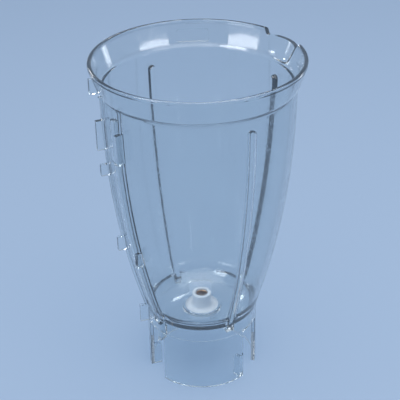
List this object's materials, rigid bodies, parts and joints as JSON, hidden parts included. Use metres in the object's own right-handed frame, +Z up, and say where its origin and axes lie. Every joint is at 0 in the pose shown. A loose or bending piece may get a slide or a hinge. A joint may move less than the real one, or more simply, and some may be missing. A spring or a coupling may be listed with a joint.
{
  "type": "blender jar",
  "caption": "Clear moulded blender jar with a flared rim, pouring lip, inner ribs, slotted skirt, handle hooks and a white shaft bushing in its floor.",
  "frame": {"origin": "on the jar's axis, in the plane of the skirt's foot", "axes": "+Z up the jar's axis, +X towards the pouring lip, -X towards the handle rails"},
  "size_m": [0.1435, 0.14, 0.237],
  "materials": {
    "clear_plastic": "clear polished SAN moulding",
    "white_plastic": "natural white acetal, satin",
    "bearing_bronze": "oil-soaked sintered bronze, dull"
  },
  "bodies": {
    "root": {"jar": "clear_plastic", "shaft_bushing": "white_plastic", "bearing_sleeve": "bearing_bronze"}
  },
  "joints": []
}
